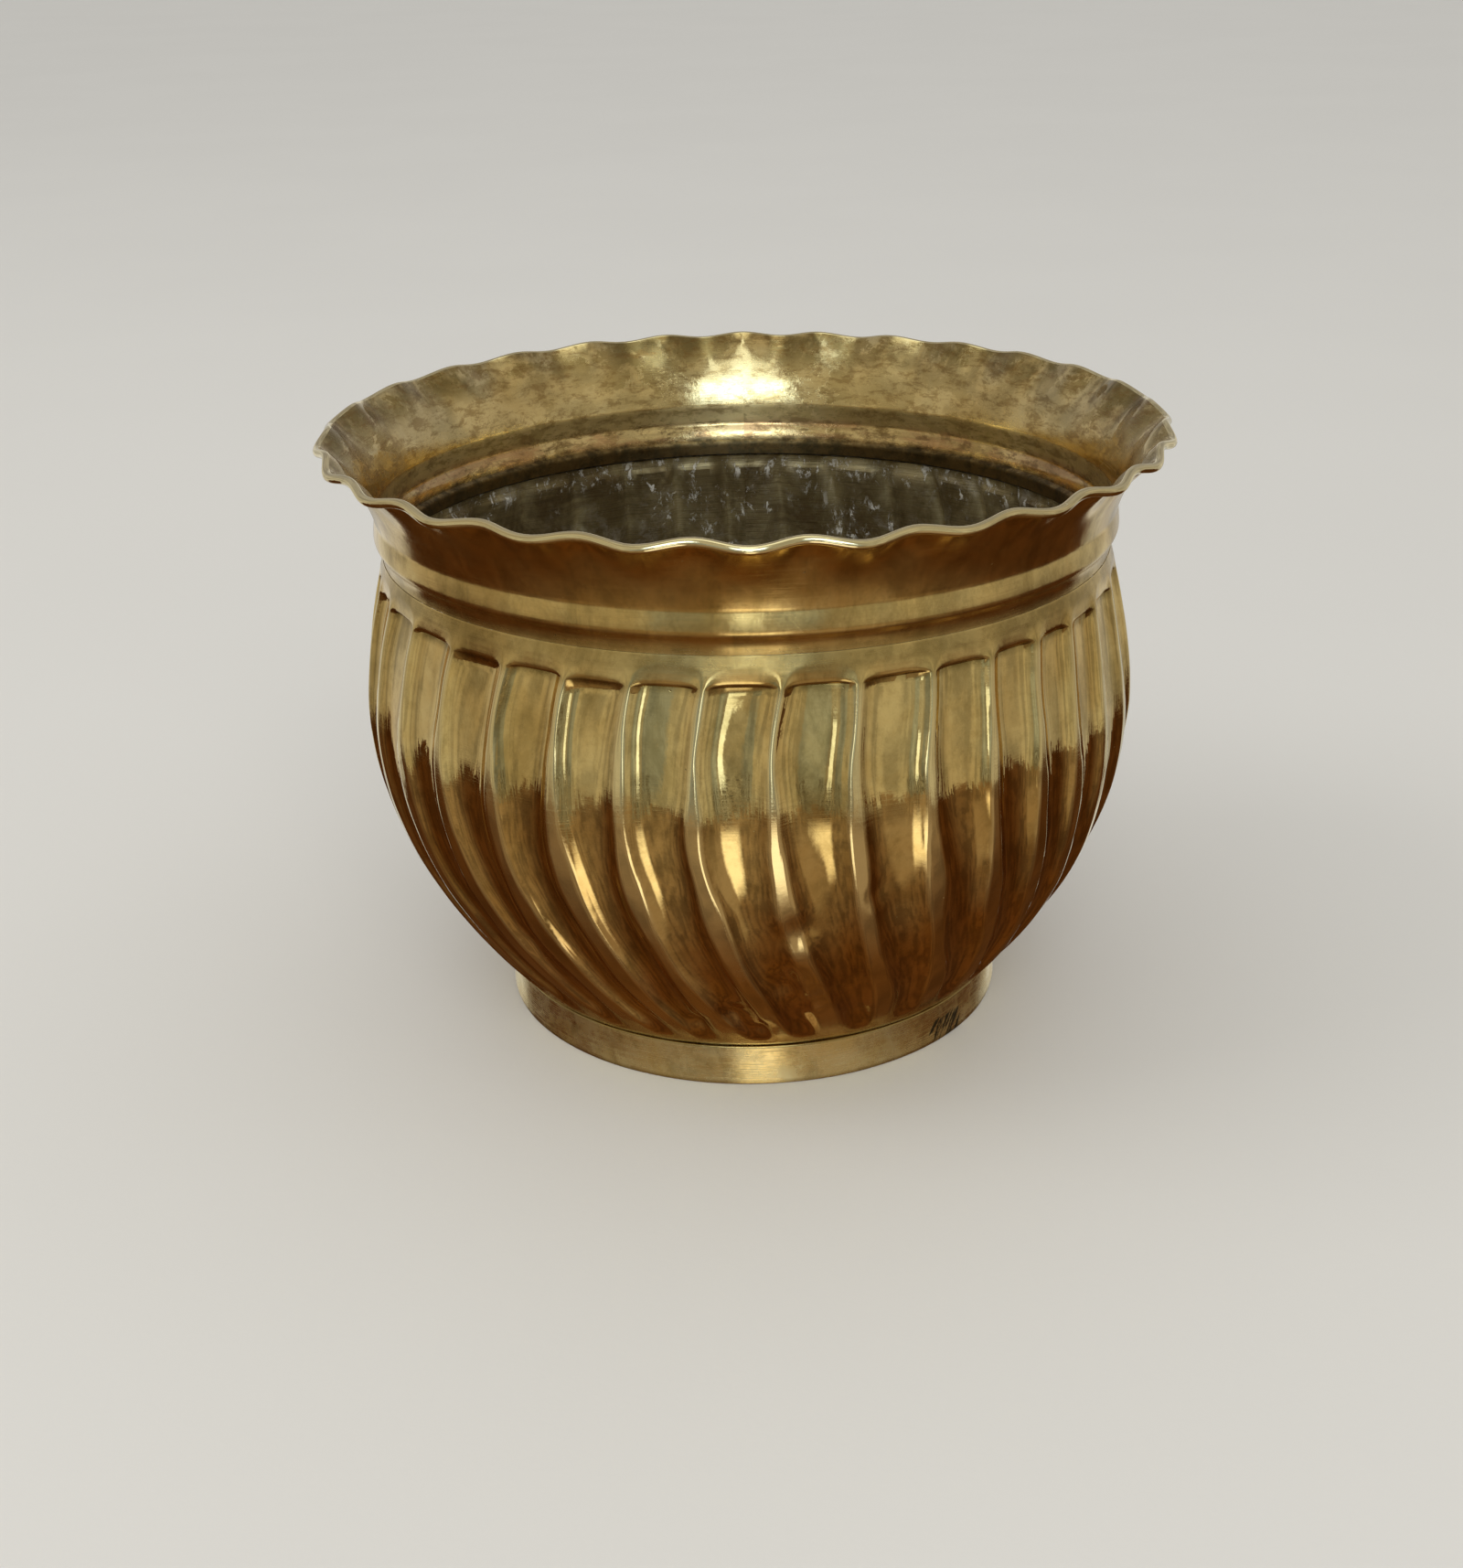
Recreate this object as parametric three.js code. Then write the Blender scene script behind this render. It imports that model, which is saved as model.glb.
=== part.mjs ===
// Brass planter pot (jardiniere): a fluted round-bellied bowl on a low foot ring,
// with a moulded neck and a flared, scalloped rim whose edge is rolled over a wire.
//
// Millimetres, +Z up, resting on Z = 0, turned about the Z axis.  The front is the
// -Y side.  Angles run from the front towards +X.
//
// The pot is sheet metal.  Six pieces, all fixed to each other:
//   bowl         raised from one sheet, with its flat bottom and hammered flutes
//   neck_collar  sleeve, neck moulding, flare and rolled scalloped edge, from one sheet
//   rim_wire     the wire the edge is rolled over
//   foot_ring    the band the pot stands on
//   neck_solder  fillet holding the collar's sleeve inside the bowl's lip
//   foot_solder  fillet holding the foot ring under the bowl
import * as THREE from 'three';

// ---- driving dimensions ------------------------------------------------------------
const JOINT_GAP = 0.3; // clearance kept between neighbouring pieces

const FOOT_HEIGHT = 15;
const FOOT_RADIUS = 93.3; // outside of the foot ring
const FOOT_THICKNESS = 2.2;
const FOOT_ROUNDING = 0.8; // of its outer edges, top and bottom

const BOWL_THICKNESS = 0.9;
const BOWL_BOTTOM = FOOT_HEIGHT + JOINT_GAP; // underside of the bowl
const BELLY_RADIUS = 139.4; // outside, over the ridges, at its widest
const BELLY_HEIGHT = 118; // height of the widest place
const BELLY_FALL_BELOW = 0.00436; // below it, radius lost is this times distance squared
const BELLY_FALL_ABOVE = 0.016; // above it, this times distance to the power below
const SHOULDER_POWER = 1.6; // under 2, so the shoulder stays full and turns in late
const LIP_RADIUS = 128.7; // outside of the bowl's top edge
const LIP_HEIGHT = 173.7;

const FLUTE_COUNT = 36;
const FLUTE_DEPTH = 2.6;
const FLUTE_TOP = 169.5; // crown of the arch that ends a flute
const FLUTE_FLOOR_TOP = 163; // where the arch's bevel meets the flute's floor
const FLUTE_BOTTOM = 18;
const FLUTE_FADE = 16; // height over which a flute dies out above the foot
const FLUTE_TURN = -6; // degrees from the front to the first ridge
const SWIRL_HEIGHT = 129; // the ridges stand upright at this height
const SWIRL = 0.00117; // degrees of lean per square millimetre away from it
const SWIRL_START = -1.3; // degrees the upright part lies to the left of the flute tops

const COLLAR_THICKNESS = 0.6;
const SLEEVE_BOTTOM = 169.5; // how far down the collar reaches inside the bowl's lip
const MOULDING_RADIUS = 131.9; // outside of the half-round neck moulding
const MOULDING_HEIGHT = 184.3; // height of its fullest place
const MOULDING_ROUND = 16.7; // radius of its arc
const FLARE_ROUND = 50; // radius of the arc the flare leans out along
const FLARE_START = 13; // degrees out from upright, at the crease above the moulding
const FLARE_END = 48; // and at the rolled edge

const EDGE_ROUND = 1.45; // outside radius of the rolled edge
const EDGE_RADIUS = 147.3; // middle of the rolled edge, halfway between lobe and crest
const EDGE_HEIGHT = 213.8;
const EDGE_OPENING = 70; // degrees left open in the roll
const WIRE_ROUND = 0.5;
const SCALLOP_COUNT = 28;
const SCALLOP_OUT = 1.25; // a lobe goes out and down, a crest in and up
const SCALLOP_DOWN = 1.05;
const SCALLOP_REACH = 16; // height of flare, below the edge, that the scallops wave
const SCALLOP_TURN = -2.9; // degrees from the front to the first lobe

const FLUTE_STEPS = [0, 0.2, 0.5, 0.8]; // places across one flute, starting on its ridge
const SCALLOP_STEPS = 4; // facets along one scallop
const ROUND_STEPS = 72; // facets round a plain ring

const BRASS = 0xb08d3e;
const IRON = 0x5b544c;
const SOLDER = 0x77736a;

// ---- helpers -----------------------------------------------------------------------
const radians = THREE.MathUtils.degToRad;
const at = (radius, height) => new THREE.Vector2(radius, height);

// A place on a circle drawn in the (radius, height) plane; 0 degrees points outwards.
function onCircle(centre, round, degrees) {
  return at(centre.x + round * Math.cos(radians(degrees)), centre.y + round * Math.sin(radians(degrees)));
}

// Places along an arc, both ends included.
function arc(centre, round, from, to, steps) {
  const places = [];
  for (let i = 0; i <= steps; i += 1) {
    places.push(onCircle(centre, round, from + ((to - from) * i) / steps));
  }
  return places;
}

// An open line of places moved sideways, to the left of its direction.
function offset(line, distance) {
  return line.map((here, i) => {
    const before = line[Math.max(i - 1, 0)];
    const after = line[Math.min(i + 1, line.length - 1)];
    const along = after.clone().sub(before).normalize();
    return at(here.x - along.y * distance, here.y + along.x * distance);
  });
}

// Turns an outline about the Z axis.  The outline runs up its outer side and down its
// inner side, and starts and ends on the axis or closes on itself.  shape() may move
// each place: it gets radius, height, step and angle, and returns radius, height, angle.
function turned(outline, steps, shape = (radius, height, step, angle) => [radius, height, angle]) {
  const profile = outline[0].x === 0 ? outline : [...outline, outline[0]];
  const lathe = new THREE.LatheGeometry(profile, steps);
  const corners = lathe.attributes.position;
  for (let step = 0; step <= steps; step += 1) {
    const around = step % steps;
    profile.forEach((place, i) => {
      const [radius, height, angle] = shape(place.x, place.y, around, (2 * Math.PI * around) / steps);
      corners.setXYZ(step * profile.length + i, radius * Math.sin(angle), -radius * Math.cos(angle), height);
    });
  }
  lathe.computeVertexNormals();
  return lathe;
}

function piece(name, geometry, color, roughness) {
  const material = new THREE.MeshStandardMaterial({ color, roughness, metalness: 1 });
  const mesh = new THREE.Mesh(geometry, material);
  mesh.name = name;
  return mesh;
}

// ---- bowl --------------------------------------------------------------------------
function bellyRadius(height) {
  const away = height - BELLY_HEIGHT;
  const fall = away < 0 ? BELLY_FALL_BELOW * away ** 2 : BELLY_FALL_ABOVE * away ** SHOULDER_POWER;
  return BELLY_RADIUS - fall;
}

// How deep a flute is at a height, from 0 to 1.
function fluteStrength(height) {
  const bevel = (FLUTE_TOP - height) / (FLUTE_TOP - FLUTE_FLOOR_TOP);
  const fade = (height - FLUTE_BOTTOM) / FLUTE_FADE;
  return THREE.MathUtils.clamp(Math.min(bevel, fade), 0, 1);
}

// The flutes were marked out by hand, so their spacing drifts by about a degree.
function handSpaced(angle) {
  return angle + radians(1.3) * Math.cos(3 * angle - radians(42)) - radians(1.1) * Math.cos(5 * angle);
}

function shapeBowl(radius, height, step) {
  const flute = Math.floor(step / FLUTE_STEPS.length);
  const across = FLUTE_STEPS[step % FLUTE_STEPS.length];
  const angle = handSpaced(radians(FLUTE_TURN) + (2 * Math.PI * (flute + across)) / FLUTE_COUNT);
  const lean = radians(SWIRL_START + SWIRL * (height - SWIRL_HEIGHT) ** 2);
  const section = 1 - Math.abs(2 * across - 1) ** 4;
  const hollow = FLUTE_DEPTH * section * fluteStrength(height);
  return [radius - hollow, height, angle + lean];
}

function bowl() {
  const heights = [17, 26, 38, 54, 74, 96, 118, 140, 154, FLUTE_FLOOR_TOP, FLUTE_TOP];
  const outside = [
    at(FOOT_RADIUS - 2.5, BOWL_BOTTOM),
    ...heights.map((height) => at(bellyRadius(height), height)),
    at(LIP_RADIUS, LIP_HEIGHT),
  ];
  const inside = offset(outside, BOWL_THICKNESS);
  inside[0].y = BOWL_BOTTOM + BOWL_THICKNESS;
  inside[inside.length - 1].y = LIP_HEIGHT;
  const outline = [
    at(0, BOWL_BOTTOM),
    ...outside,
    ...inside.reverse(),
    at(0, BOWL_BOTTOM + BOWL_THICKNESS),
  ];
  const metal = turned(outline, FLUTE_COUNT * FLUTE_STEPS.length, shapeBowl);
  return piece('bowl', metal, BRASS, 0.25);
}

// ---- neck collar and the wire in its edge ------------------------------------------
// How far a scallop carries a place: not at all low on the flare, fully at the edge.
function scallopStrength(height) {
  const start = EDGE_HEIGHT - SCALLOP_REACH;
  const share = (height - start) / (SCALLOP_REACH - EDGE_ROUND);
  return THREE.MathUtils.clamp(share, 0, 1) ** 1.5;
}

// The scallops were bent by hand, so they are a little wider on one side of the pot.
function shapeRim(radius, height, step, angle) {
  const wave = Math.cos(SCALLOP_COUNT * angle) * scallopStrength(height);
  const turn = radians(SCALLOP_TURN) + radians(3.7) * Math.cos(angle - radians(26));
  return [radius + SCALLOP_OUT * wave, height - SCALLOP_DOWN * wave, angle + turn];
}

function neckCollar() {
  const lipInside = LIP_RADIUS - BOWL_THICKNESS;
  const sleeveOutside = lipInside - JOINT_GAP - 0.1;
  const sleeveInside = sleeveOutside - COLLAR_THICKNESS;
  const seat = LIP_HEIGHT + JOINT_GAP + 0.05; // underside of the moulding, over the lip

  const edge = at(EDGE_RADIUS, EDGE_HEIGHT);
  const flareCentre = onCircle(edge, FLARE_ROUND - EDGE_ROUND + COLLAR_THICKNESS, -FLARE_END);
  const flareOutside = arc(flareCentre, FLARE_ROUND, 180 - FLARE_START, 180 - FLARE_END, 4);
  const flareInside = arc(flareCentre, FLARE_ROUND + COLLAR_THICKNESS, 180 - FLARE_END, 180 - FLARE_START, 4);

  const mouldingCentre = at(MOULDING_RADIUS - MOULDING_ROUND, MOULDING_HEIGHT);
  const angleAt = (height, round) => THREE.MathUtils.radToDeg(Math.asin((height - MOULDING_HEIGHT) / round));
  const crease = flareOutside[0].y;
  const innerRound = MOULDING_ROUND - COLLAR_THICKNESS;
  const mouldingOutside = arc(
    mouldingCentre,
    MOULDING_ROUND,
    angleAt(seat, MOULDING_ROUND),
    angleAt(crease, MOULDING_ROUND),
    3,
  );
  const mouldingInside = arc(
    mouldingCentre,
    innerRound,
    angleAt(crease, innerRound),
    angleAt(seat + COLLAR_THICKNESS, innerRound),
    3,
  );

  const rollEnd = 180 - FLARE_END - 360 + EDGE_OPENING;
  const rollInside = arc(edge, EDGE_ROUND - COLLAR_THICKNESS, 180 - FLARE_END, rollEnd, 5);
  const rollOutside = arc(edge, EDGE_ROUND, rollEnd, 180 - FLARE_END, 5);

  const outline = [
    at(sleeveOutside, SLEEVE_BOTTOM),
    at(sleeveOutside, seat),
    ...mouldingOutside.slice(0, -1),
    ...flareOutside.slice(0, -1),
    ...rollInside,
    ...rollOutside.slice(0, -1),
    ...flareInside.slice(0, -1),
    ...mouldingInside,
    at(sleeveInside, seat + COLLAR_THICKNESS),
    at(sleeveInside, SLEEVE_BOTTOM),
  ];
  const metal = turned(outline, SCALLOP_COUNT * SCALLOP_STEPS, shapeRim);
  return piece('neck_collar', metal, BRASS, 0.28);
}

function rimWire() {
  const section = arc(at(EDGE_RADIUS, EDGE_HEIGHT), WIRE_ROUND, -90, 198, 4);
  const metal = turned(section, SCALLOP_COUNT * SCALLOP_STEPS, shapeRim);
  return piece('rim_wire', metal, IRON, 0.6);
}

// ---- foot --------------------------------------------------------------------------
function footRing() {
  const outer = FOOT_RADIUS - FOOT_ROUNDING;
  const inner = FOOT_RADIUS - FOOT_THICKNESS;
  const outline = [
    at(inner, 0),
    ...arc(at(outer, FOOT_ROUNDING), FOOT_ROUNDING, -90, 0, 2),
    ...arc(at(outer, FOOT_HEIGHT - FOOT_ROUNDING), FOOT_ROUNDING, 0, 90, 2),
    at(inner, FOOT_HEIGHT),
  ];
  return piece('foot_ring', turned(outline, ROUND_STEPS), BRASS, 0.3);
}

// ---- solder ------------------------------------------------------------------------
// The fillet in the corner between the sleeve's lower edge and the bowl's inside.
function neckSolder() {
  const top = SLEEVE_BOTTOM - JOINT_GAP;
  const wall = bellyRadius(top) - BOWL_THICKNESS - FLUTE_DEPTH * fluteStrength(top) - 2 * JOINT_GAP;
  const sleeve = LIP_RADIUS - BOWL_THICKNESS - JOINT_GAP - COLLAR_THICKNESS;
  const outline = [at(wall - 0.5, top - 1), at(wall, top), at(sleeve, top)];
  return piece('neck_solder', turned(outline, ROUND_STEPS), SOLDER, 0.7);
}

// The fillet in the corner between the foot ring's inside and the bowl's underside.
function footSolder() {
  const outer = FOOT_RADIUS - FOOT_THICKNESS - JOINT_GAP - 0.1;
  const top = BOWL_BOTTOM - JOINT_GAP;
  const outline = [at(outer, top - 2.5), at(outer, top), at(outer - 2.5, top)];
  return piece('foot_solder', turned(outline, ROUND_STEPS), SOLDER, 0.7);
}

const pot = new THREE.Group();
pot.name = 'brass_planter_pot';
pot.add(bowl(), neckCollar(), rimWire(), footRing(), neckSolder(), footSolder());

export default pot;
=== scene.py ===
"""Looks for the brass planter pot: a fluted bowl, a flared scalloped rim and a foot ring.

Metres, +Z up, the pot turned about Z.  The front is -Y.  Angles run from the front
towards +X, and the angle of a place is written `turn`.  Lengths of the pot are given
in millimetres and multiplied by MM.  The pot has no moving parts.
"""

import math

import bpy
from mathutils import Matrix, Vector, noise


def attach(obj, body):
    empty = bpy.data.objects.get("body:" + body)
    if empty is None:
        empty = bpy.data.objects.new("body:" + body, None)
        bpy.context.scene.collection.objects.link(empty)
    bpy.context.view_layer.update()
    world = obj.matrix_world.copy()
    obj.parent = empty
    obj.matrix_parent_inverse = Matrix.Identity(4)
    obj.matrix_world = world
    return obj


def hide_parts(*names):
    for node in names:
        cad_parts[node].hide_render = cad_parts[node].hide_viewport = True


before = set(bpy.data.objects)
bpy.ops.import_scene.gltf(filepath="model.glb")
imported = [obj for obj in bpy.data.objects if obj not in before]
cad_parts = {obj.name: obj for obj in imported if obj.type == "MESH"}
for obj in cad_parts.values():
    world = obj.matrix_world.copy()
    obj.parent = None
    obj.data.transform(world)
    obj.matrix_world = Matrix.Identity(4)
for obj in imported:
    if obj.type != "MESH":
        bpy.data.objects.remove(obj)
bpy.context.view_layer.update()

MM = 0.001

# ---- dimensions of the pot, close to the frame's --------------------------------------
FOOT_HEIGHT = 15.2
FOOT_RADIUS = 93.3
FOOT_THICKNESS = 2.2
FOOT_ROUNDING = 0.5
FOOT_WAIST = 0.3

BOWL_THICKNESS = 0.9
BOWL_BOTTOM = 15.3
BELLY_RADIUS = 139.4
BELLY_HEIGHT = 118
LIP_RADIUS = 129.3
LIP_HEIGHT = 173.7
WAIST_HEIGHT = 174.4
SHOULDER_HEIGHT = 168

FLUTE_COUNT = 36
FLUTE_STEPS = 20  # places across one flute
FIRST_RIDGE = -6  # degrees
FLUTE_DEPTH = 3.0
FLUTE_TOP = 170.5  # crown of the arch that ends a flute
FLUTE_CREASE = 163.2  # where the arch's slope meets the flat floor of the flute
FLUTE_BOTTOM = 17
FLUTE_FADE = 16  # height over which a flute dies out above the foot
ARCH_DROP = 4.5  # how much lower the arch is at the ridges than at its crown
RIDGE_TOP_WIDTH = 0.9  # half the width of a ridge's flat crest, near the neck
RIDGE_LOW_WIDTH = 3.0  # the same, low on the belly
STRAIGHT_AT = 129  # height at which a flute runs straight up

# Arcs of the collar's outline have a radius in millimetres and a tilt in degrees: how
# far the outward face leans up or down.
COLLAR_THICKNESS = 0.6
SLEEVE_BOTTOM = 169.5
SLEEVE_RADIUS = 127.4
SEAT_HEIGHT = LIP_HEIGHT + 0.04  # where the collar rests on the bowl's lip
BAND_ROUND = 52
BAND_TILT = 10
BULGE_ROUND = 3.5
BULGE_TILT = 3
COVE_ROUND = 9
COVE_TILT = 38
FLARE_ROUND = 50
FLARE_START = 13
FLARE_END = 48
EDGE_ROUND = 1.6
EDGE_RADIUS = 147.1
EDGE_HEIGHT = 213.6
EDGE_OPENING = 70
SCALLOP_COUNT = 28
SCALLOP_STEPS = 15  # places across one scallop
SCALLOP_OUT = 1.25
SCALLOP_DOWN = 1.05
SCALLOP_REACH = 16  # how far down from the edge the scallops can be felt

# Sections of the solder fillets, each a triangle of (radius, height).
NECK_FILLET = [(128.6, 168.3), (129.1, 169.2), (127.0, 169.2)]
FOOT_FILLET = [(90.7, 12.5), (90.7, 15.0), (88.2, 15.0)]

WALL_RADIUS = 130  # turns an angle into a distance along the wall, for the materials


def clamp(value, low=0.0, high=1.0):
    return max(low, min(high, value))


def smooth(value):
    value = clamp(value)
    return value * value * (3 - 2 * value)


def mix(a, b, share):
    return a + (b - a) * share


def wobble(place, size, seed=0.0):
    """Smooth unevenness from -1 to 1 that varies over about `size` millimetres."""
    return noise.noise(Vector(place) / size + Vector((seed, 0.37 * seed, -seed)))


# ---- camera ---------------------------------------------------------------------------
def make_camera():
    """Stands in front of the pot and looks down on it by 24 degrees."""
    place = (0, -0.730, 0.3934)
    look_right = math.radians(-0.56)
    look_down = math.radians(23.57)
    tilt = math.radians(-1.26)
    data = bpy.data.cameras.new("camera")
    data.lens = 48.3
    data.sensor_width = 36
    data.clip_start = 0.01
    camera = bpy.data.objects.new("camera", data)
    bpy.context.collection.objects.link(camera)
    aim = (
        Matrix.Rotation(-look_right, 4, "Z")
        @ Matrix.Rotation(math.pi / 2 - look_down, 4, "X")
        @ Matrix.Rotation(tilt, 4, "Z")
    )
    camera.matrix_world = Matrix.Translation(place) @ aim
    bpy.context.scene.camera = camera


# ---- meshes ---------------------------------------------------------------------------
SHARP_FROM = 50  # degrees between two faces, from which their edge isn't smoothed


def spot_at(radius, turn, height):
    """The place with this distance from the axis, angle and height."""
    return radius * math.sin(turn), -radius * math.cos(turn), height


def turned_mesh(name, rows, columns, place, closed=True, materials=(), inner_from=None):
    """Joins rows of places round the Z axis into a mesh.

    place(row, column) returns (radius, height, turn) in millimetres and radians.  The
    rows run up the outer side and down the inner side.  A closed outline joins its last
    row to its first; an open one ends in a point on the axis at both ends.  From row
    inner_from on, faces take the second material.
    """
    corners = []
    for row in range(rows):
        for column in range(columns):
            radius, height, turn = place(row, column)
            corners.append(tuple(length * MM for length in spot_at(radius, turn, height)))
    faces, slots = [], []
    for row in range(rows if closed else rows - 1):
        above = (row + 1) % rows
        for column in range(columns):
            beside = (column + 1) % columns
            row_start, above_start = row * columns, above * columns
            faces.append(
                (row_start + column, row_start + beside, above_start + beside, above_start + column)
            )
            slots.append(1 if inner_from is not None and row >= inner_from else 0)
    if not closed:
        for row, order in ((0, -1), (rows - 1, 1)):
            ring = [row * columns + column for column in range(columns)][::order]
            height = sum(corners[i][2] for i in ring) / columns
            corners.append((0, 0, height))
            middle = len(corners) - 1
            for i, corner in enumerate(ring):
                faces.append((corner, ring[(i + 1) % columns], middle))
                slots.append(0 if row == 0 else 1)
    mesh = bpy.data.meshes.new(name)
    mesh.from_pydata(corners, [], faces)
    for material in materials:
        mesh.materials.append(material)
    mesh.polygons.foreach_set("material_index", slots)
    mesh.polygons.foreach_set("use_smooth", [True] * len(faces))
    mesh.set_sharp_from_angle(angle=math.radians(SHARP_FROM))
    mesh.validate()
    piece = bpy.data.objects.new(name, mesh)
    bpy.context.collection.objects.link(piece)
    return piece


def shade(piece, name, values):
    """Stores one number per corner, for the materials to read by name."""
    attribute = piece.data.attributes.new(name, "FLOAT", "POINT")
    attribute.data.foreach_set("value", values)


def spaced(start, end, step):
    """Evenly spaced numbers from start to end, both included, about `step` apart."""
    count = max(1, round(abs(end - start) / step))
    return [mix(start, end, i / count) for i in range(count + 1)]


# ---- bowl -----------------------------------------------------------------------------
DENTS = [  # turn in degrees; height, radius and depth in millimetres
    (6.3, 79.0, 10.5, 1.9),
    (5.7, 54.5, 11.0, 1.9),
    (10.0, 45.0, 9.0, 1.6),
    (-4.0, 38.0, 8.0, 1.7),
    (2.0, 29.0, 6.0, 1.6),
    (-10.0, 33.0, 7.0, 1.5),
    (-1.0, 84.0, 9.0, 0.5),
    (17.0, 92.0, 7.0, 0.6),
    (-38.0, 61.0, 9.0, 0.7),
    (121.0, 84.0, 7.0, 1.1),
    (208.0, 66.0, 8.0, 0.9),
    (289.0, 101.0, 6.0, 0.6),
]


def belly_radius(height):
    """Outside radius over the ridges.

    A parabola below the widest place, a flatter curve above it, and a shoulder that
    hollows in to the waist at the top.
    """
    away = min(height, SHOULDER_HEIGHT) - BELLY_HEIGHT
    if away < 0:
        return BELLY_RADIUS - 0.00436 * away**2
    radius = BELLY_RADIUS - 0.016 * away**1.6
    if height > SHOULDER_HEIGHT:
        to_waist = (WAIST_HEIGHT - height) / (WAIST_HEIGHT - SHOULDER_HEIGHT)
        radius = LIP_RADIUS + (radius - LIP_RADIUS) * to_waist**1.18
    return radius


def hand_spaced(turn):
    """The flutes were marked out by hand, so their spacing drifts by about a degree."""
    drift = 1.3 * math.cos(3 * turn - math.radians(42)) - 1.1 * math.cos(5 * turn)
    return turn + math.radians(drift)


def lean(height):
    """How far the flutes have swirled round at a height, in radians."""
    return math.radians(0.00117 * (height - STRAIGHT_AT) ** 2 - 1.3)


def flute_hollow(flute, across, height):
    """Depth of a flute below its ridges; across runs from 0 on one ridge to 1 on the next.

    The top of a flute is an arch: a slope that starts gently at the crown and drops
    steeply to a straight crease, where the flat floor of the flute begins.
    """
    from_middle = abs(2 * across - 1)
    seed = Vector((flute * 1.7, 4.1, 0.3))
    crown = FLUTE_TOP + 0.9 * noise.noise(seed) - ARCH_DROP * from_middle**3.5
    crease = FLUTE_CREASE + 0.9 * noise.noise(seed * 2)
    below = clamp((crown - height) / (crown - crease))
    bevel = 0.40 * below + 0.60 * below**12
    low = smooth((150 - height) / 60)
    ridge = flute if across < 0.5 else (flute + 1) % FLUTE_COUNT
    crest = mix(RIDGE_TOP_WIDTH, RIDGE_LOW_WIDTH, low)
    crest *= 1 + 0.6 * noise.noise(Vector((ridge * 2.3, height / 26, 7.7)))
    half_width = math.pi * belly_radius(height) / FLUTE_COUNT
    down = clamp(((1 - from_middle) * half_width - crest) / (half_width - crest))
    side = 1 - (1 - down) ** mix(3.4, 2.4, low)
    lopsided = 1 + 0.35 * (2 * across - 1) * noise.noise(Vector((flute * 3.1, height / 45, 1.3)))
    fade = smooth((height - FLUTE_BOTTOM) / FLUTE_FADE)
    deep = FLUTE_DEPTH * (1 + 0.25 * noise.noise(seed * 3)) * lopsided
    return deep * bevel * side * fade


def dent_depth(radius, height, turn):
    """How far the dents have pushed the wall in at a place."""
    narrower = 1.2  # a dent is this much taller than it is wide
    total = 0
    for dent_turn, dent_height, size, depth in DENTS:
        apart = (turn - math.radians(dent_turn) + math.pi) % (2 * math.pi) - math.pi
        away = math.hypot(apart * radius * narrower, height - dent_height) / size
        total += depth * (1 - smooth(away))
    return total


def bowl_outline():
    """Rows of (radius over the ridges, height, share of the flutes), and where the inside starts.

    They run from the middle of the bottom up the outside, then down the inside.
    """
    outer = spaced(16.6, 163, 2.4) + spaced(163.5, 171.5, 0.5) + spaced(172.2, LIP_HEIGHT, 0.7)
    inner = spaced(LIP_HEIGHT, 163, 1.3) + spaced(159.5, 17.6, 4.0)
    hub = 20
    flat = FOOT_RADIUS - 3.5
    floor = BOWL_BOTTOM + BOWL_THICKNESS
    line = [(hub, BOWL_BOTTOM, 0), (flat, BOWL_BOTTOM, 0), (FOOT_RADIUS - 1.2, BOWL_BOTTOM + 0.3, 0)]
    line += [(belly_radius(height), height, 1) for height in outer]
    inner_from = len(line) - 1
    for height in inner:
        slope = (belly_radius(height + 0.5) - belly_radius(height - 0.5)) if height < 173 else 0
        steep = math.hypot(1, slope)
        lift = BOWL_THICKNESS * slope / steep if height < 150 else 0
        line.append((belly_radius(height) - BOWL_THICKNESS / steep, height + lift, 1))
    line += [(flat, floor + 0.3, 0), (60, floor, 0), (hub, floor, 0)]
    return line, inner_from


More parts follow.
